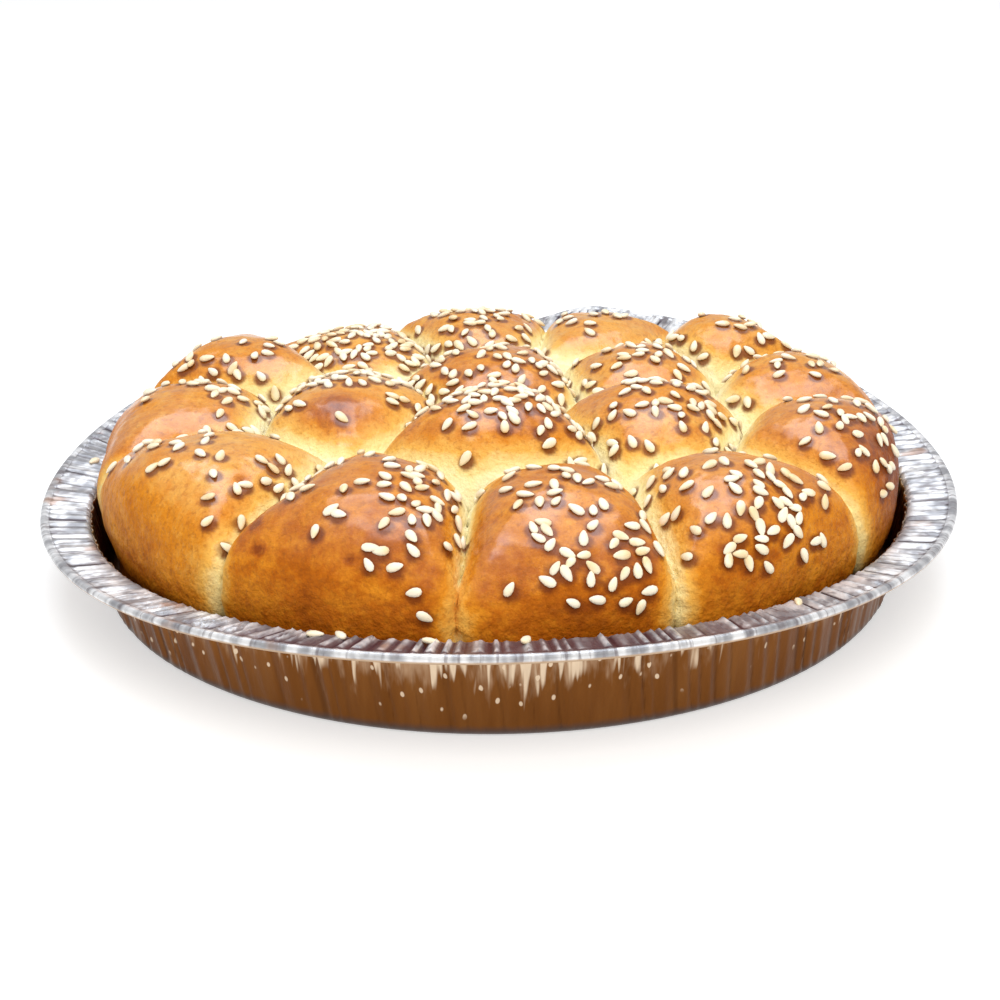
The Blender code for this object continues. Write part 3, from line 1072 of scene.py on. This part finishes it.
class BREAD_OT_foil_pan(bpy.types.Operator):
    """Makes the foil pan: cup with a pleated wall, crimped flange and rolled edge"""

    bl_idname = "bread.foil_pan"
    bl_label = "Foil Pan"

    def execute(self, context):
        sizes = context.scene.pan_sizes
        half = sizes.thickness / 2
        wall_top = RIM_HEIGHT - FLANGE_RISE
        cup_profile = [
            (0.2 * MM, half),
            (60 * MM, half),
            *straight_points((FLOOR_RADIUS - 8 * MM, half), (FLOOR_RADIUS, half), 3),
            *round_points((FLOOR_RADIUS, half + FOOT_ROUND), FOOT_ROUND, -90, -10, 6),
            *straight_points((WALL_FOOT_RADIUS, 2.4 * MM), (WALL_TOP_RADIUS, wall_top), 12),
            (WALL_TOP_RADIUS - half, wall_top - 0.8 * MM),
        ]

        def cup_wave(angle, radius, height):
            share = min(max((height - 0.3 * MM) / (3 * MM), 0.0), 1.0)
            wave = folds(angle + height * 1.2, sizes.pleats, 1.0)
            return wave * sizes.pleat_depth * share, 0.0, wave * 0.5 + 0.5

        flange_in = (WALL_TOP_RADIUS + 0.9 * MM, wall_top)
        roll_middle = (RIM_RADIUS - sizes.roll_radius, RIM_HEIGHT - sizes.roll_radius)
        flange_out = (roll_middle[0] - 0.9 * MM, RIM_HEIGHT - 0.5 * MM)
        rim_profile = [
            (WALL_TOP_RADIUS + 0.05 * MM, wall_top - 2.0 * MM),
            (WALL_TOP_RADIUS + 0.15 * MM, wall_top - 0.8 * MM),
            (WALL_TOP_RADIUS + 0.4 * MM, wall_top - 0.25 * MM),
            *straight_points(flange_in, flange_out, 8),
            flange_out,
            *round_points(roll_middle, sizes.roll_radius - half, 105, -190, 12),
        ]

        def rim_wave(angle, radius, height):
            on_flange = min(max((radius - WALL_TOP_RADIUS - 0.1 * MM) / (0.7 * MM), 0.0), 1.0)
            to_roll = min(max((roll_middle[0] - 0.6 * MM - radius) / (0.9 * MM), 0.0), 1.0)
            slant = (radius - WALL_TOP_RADIUS) * (1.2 + 1.5 * np.sin(angle * 5))
            wave = folds(angle + slant, sizes.crimps, 4.0)
            finer = folds(angle + slant * 0.6, sizes.crimps * 2.3, 9.0)
            share = on_flange * to_roll
            # The groove before the roll gets a dark line of painted shade
            groove = abs(radius - flange_out[0]) < 0.01 * MM
            mark = (1 - (0.5 - wave * 0.5) * share) * (0.3 if groove else 1.0)
            return 0.0, (wave + finer * 0.3) * sizes.crimp_depth * share, mark

        cup = foil_piece("foil_cup", cup_profile, CUP_COLUMNS, cup_wave)
        rim = foil_piece("foil_rim", rim_profile, RIM_COLUMNS, rim_wave)
        cup.data.materials.append(reflection_tinted_foil_finish())
        rim.data.materials.append(bright_foil_finish())
        for piece in (cup, rim):
            solidify = piece.modifiers.new("foil", "SOLIDIFY")
            solidify.thickness = sizes.thickness
            solidify.offset = 0.0
            baked(piece)
            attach(piece, "root")
            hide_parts("foil_pan")
        return {"FINISHED"}


class BREAD_OT_loaf(bpy.types.Operator):
    """Makes the loaf: outer buns, inner buns and the crumb under them"""

    bl_idname = "bread.loaf"
    bl_label = "Loaf"

    def execute(self, context):
        sizes = context.scene.loaf_sizes
        noise.seed_set(sizes.random_seed)
        buns = all_buns(sizes)
        finish = crust_finish()
        inner = len(OUTER_BUNS)
        groups = (buns[:FRONT_BUNS], buns[FRONT_BUNS:inner], buns[inner:])
        pieces = [bun_piece(name, group, buns, sizes) for name, group in zip(CRUST_PIECES, groups)]
        for piece in (*pieces, crumb_piece()):
            piece.data.materials.append(finish)
            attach(piece, "root")
            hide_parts("loaf")
        return {"FINISHED"}


class BREAD_OT_sesame(bpy.types.Operator):
    """Scatters sesame seeds over the buns"""

    bl_idname = "bread.sesame"
    bl_label = "Sesame"

    def execute(self, context):
        sizes = context.scene.sesame_sizes
        buns = all_buns(context.scene.loaf_sizes)
        merged = bmesh.new()
        for name in CRUST_PIECES:
            if name not in bpy.data.objects:
                raise RuntimeError("The sesame needs the loaf first")
            merged.from_mesh(bpy.data.objects[name].data)
        surface = BVHTree.FromBMesh(merged)
        merged.free()
        places = seed_places(buns, surface, sizes)
        for name in CRUST_PIECES:
            paint_seed_shadows(bpy.data.objects[name], places)
        if "foil_rim" not in bpy.data.objects:
            raise RuntimeError("The sesame needs the foil pan first")
        rim = bmesh.new()
        rim.from_mesh(bpy.data.objects["foil_rim"].data)
        places += flange_places(BVHTree.FromBMesh(rim))
        rim.free()
        draw = np.random.default_rng(sizes.random_seed + 1)
        spots = []
        lays = []
        for spot, normal in places:
            lean = Vector(draw.normal(0.0, SEED_LEAN, 3))
            up = (normal + lean).normalized()
            turn = Matrix.Rotation(draw.uniform(0, math.tau), 3, "Z")
            lay = (up.to_track_quat("Z", "Y").to_matrix() @ turn).to_euler()
            spots.append(spot + normal * sizes.depth * draw.uniform(*SEED_RAISE))
            lays.append(tuple(lay))
        sesame = new_piece("sesame", spots, [])
        lay_values = sesame.data.attributes.new("lay", "FLOAT_VECTOR", "POINT")
        lay_values.data.foreach_set("vector", np.array(lays, dtype=np.float32).ravel())
        seed = one_seed(sizes)
        modifier = sesame.modifiers.new("scatter", "NODES")
        modifier.node_group = seed_tree(seed, sesame_finish())
        smallest, largest = SEED_SIZES
        values = {"Smallest": smallest, "Largest": largest, "Random Seed": sizes.random_seed}
        set_inputs(modifier, values)
        baked(sesame)
        bpy.data.objects.remove(seed)
        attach(sesame, "root")
        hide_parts("loaf")
        return {"FINISHED"}


def area_light(name, place, target, size):
    """A soft square light that shines from place to target."""
    light = bpy.data.lights.new(name, "AREA")
    light.shape = "SQUARE"
    light.size = size
    made = bpy.data.objects.new(name, light)
    made.location = place
    toward = Vector(target) - Vector(place)
    made.rotation_euler = toward.to_track_quat("-Z", "Y").to_euler()
    bpy.context.scene.collection.objects.link(made)
    return made


class BREAD_OT_stage(bpy.types.Operator):
    """Makes the floor, the lights and the camera"""

    bl_idname = "bread.stage"
    bl_label = "Stage"

    def execute(self, context):
        light = context.scene.stage_light
        sides = ((-1, -1), (1, -1), (1, 1), (-1, 1))
        corners = [(x * FLOOR_HALF, y * FLOOR_HALF, 0) for x, y in sides]
        floor = new_piece("floor", corners, [(0, 1, 2, 3)])
        floor.data.materials.append(
            Finish("pale floor").principled(
                {
                    "Base Color": (*light.floor_color, 1.0),
                    "Roughness": 0.6,
                    "Emission Color": (1.0, 1.0, 1.0, 1.0),
                    "Emission Strength": light.floor_glow,
                }
            )
        )
        overhead = area_light("overhead", OVERHEAD_PLACE, (0, 0, 0), OVERHEAD_SIZE)
        overhead.data.energy = light.overhead_power
        overhead.data.color = OVERHEAD_COLOR
        fill = area_light("front fill", FILL_PLACE, FILL_TARGET, FILL_SIZE)
        fill.data.energy = light.fill_power
        fill.data.color = FILL_COLOR
        fill.visible_glossy = False
        context.scene.view_settings.view_transform = "Standard"
        world = bpy.data.worlds.new("room")
        world.use_nodes = True
        room = world.node_tree.nodes["Background"]
        room.inputs["Color"].default_value = (1.0, 1.0, 1.0, 1.0)
        room.inputs["Strength"].default_value = light.ambient
        context.scene.world = world
        data = bpy.data.cameras.new("camera")
        data.sensor_width = CAMERA_SENSOR
        data.lens = CAMERA_LENS
        camera = bpy.data.objects.new("camera", data)
        aim = (CAMERA_TARGET - CAMERA_PLACE).to_track_quat("-Z", "Y").to_matrix().to_4x4()
        rolled = aim @ Matrix.Rotation(CAMERA_ROLL, 4, "Z")
        camera.matrix_world = Matrix.Translation(CAMERA_PLACE) @ rolled
        context.scene.collection.objects.link(camera)
        context.scene.camera = camera
        return {"FINISHED"}


class BREAD_PT_panel(bpy.types.Panel):
    """Lists the steps and the sizes."""

    bl_label = "Honeycomb Bread"
    bl_idname = "BREAD_PT_panel"
    bl_space_type = "VIEW_3D"
    bl_region_type = "UI"
    bl_category = "Bread"

    def draw(self, context):
        layout = self.layout
        steps = (
            (BREAD_OT_foil_pan, context.scene.pan_sizes),
            (BREAD_OT_loaf, context.scene.loaf_sizes),
            (BREAD_OT_sesame, context.scene.sesame_sizes),
            (BREAD_OT_stage, context.scene.stage_light),
        )
        for step, sizes in steps:
            layout.operator(step.bl_idname)
            for name in type(sizes).__annotations__:
                layout.prop(sizes, name)


SETTINGS = {
    "pan_sizes": PanSizes,
    "loaf_sizes": LoafSizes,
    "sesame_sizes": SesameSizes,
    "stage_light": StageLight,
}
CLASSES = (
    *SETTINGS.values(),
    BREAD_OT_foil_pan,
    BREAD_OT_loaf,
    BREAD_OT_sesame,
    BREAD_OT_stage,
    BREAD_PT_panel,
)


def register():
    for item in CLASSES:
        bpy.utils.register_class(item)
    for name, group in SETTINGS.items():
        setattr(bpy.types.Scene, name, bpy.props.PointerProperty(type=group))


def unregister():
    for name in SETTINGS:
        delattr(bpy.types.Scene, name)
    for item in reversed(CLASSES):
        bpy.utils.unregister_class(item)


def main():
    register()
    bpy.ops.bread.foil_pan()
    bpy.ops.bread.loaf()
    bpy.ops.bread.sesame()
    bpy.ops.bread.stage()
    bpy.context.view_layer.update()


if __name__ == "__main__":
    main()
